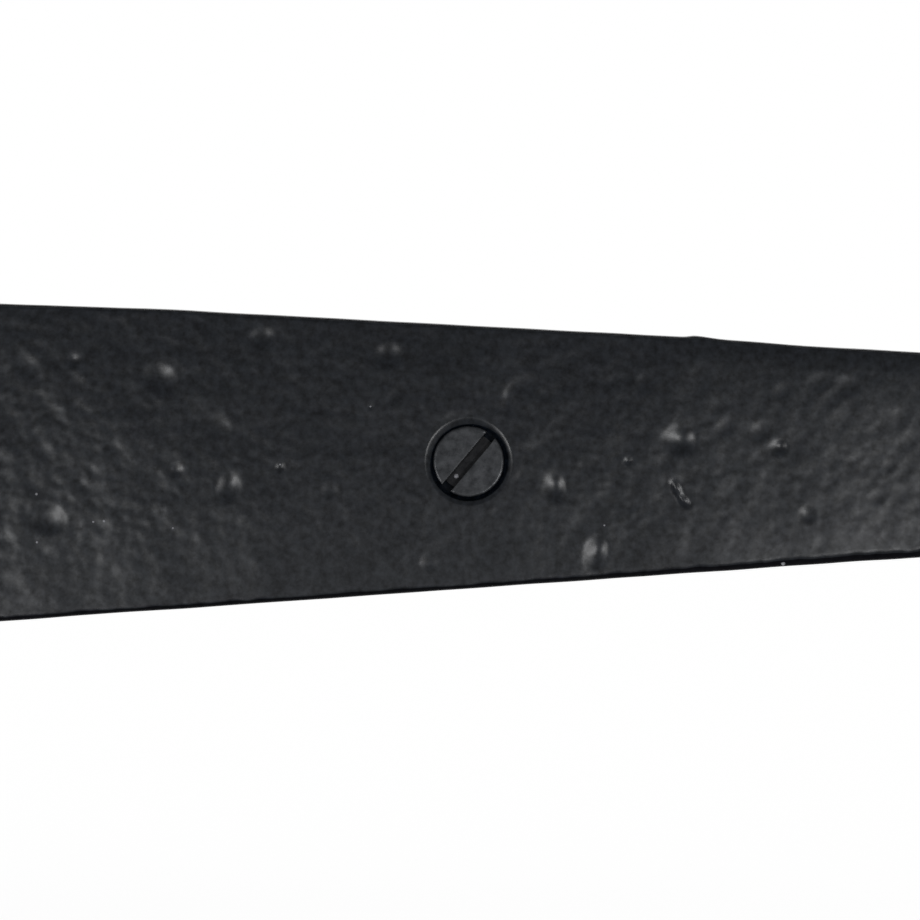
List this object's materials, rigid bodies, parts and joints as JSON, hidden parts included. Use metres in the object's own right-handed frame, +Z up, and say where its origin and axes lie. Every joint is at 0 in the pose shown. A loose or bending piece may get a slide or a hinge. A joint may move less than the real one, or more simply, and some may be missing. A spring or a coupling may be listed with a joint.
{
  "type": "tee hinge",
  "caption": "Black cast tee hinge: a long tapered strap leaf swings on a riveted pin in an upright plate leaf, both fixed with slotted countersunk wood screws.",
  "frame": {"origin": "middle of the plate leaf's back face, on the wall plane", "axes": "+X along the strap from the pin to the tip, +Y into the wall, +Z up along the pin"},
  "size_m": [0.3455, 0.0422, 0.13],
  "materials": {
    "black_casting": "satin black paint over rough cast iron",
    "black_pin": "satin black paint over a riveted steel pin",
    "black_screw": "smooth satin black on turned steel"
  },
  "bodies": {
    "plate": {"plate_leaf": "black_casting", "hinge_pin": "black_pin", "plate_screws": "black_screw"},
    "strap": {"strap_leaf": "black_casting", "strap_screws": "black_screw"}
  },
  "joints": [
    {"name": "strap_swing", "type": "hinge", "parent": "plate", "child": "strap", "pos_m": [0.0265, -0.0065, 0], "axis": [0, 0, -1], "range_deg": [-90, 180]}
  ]
}
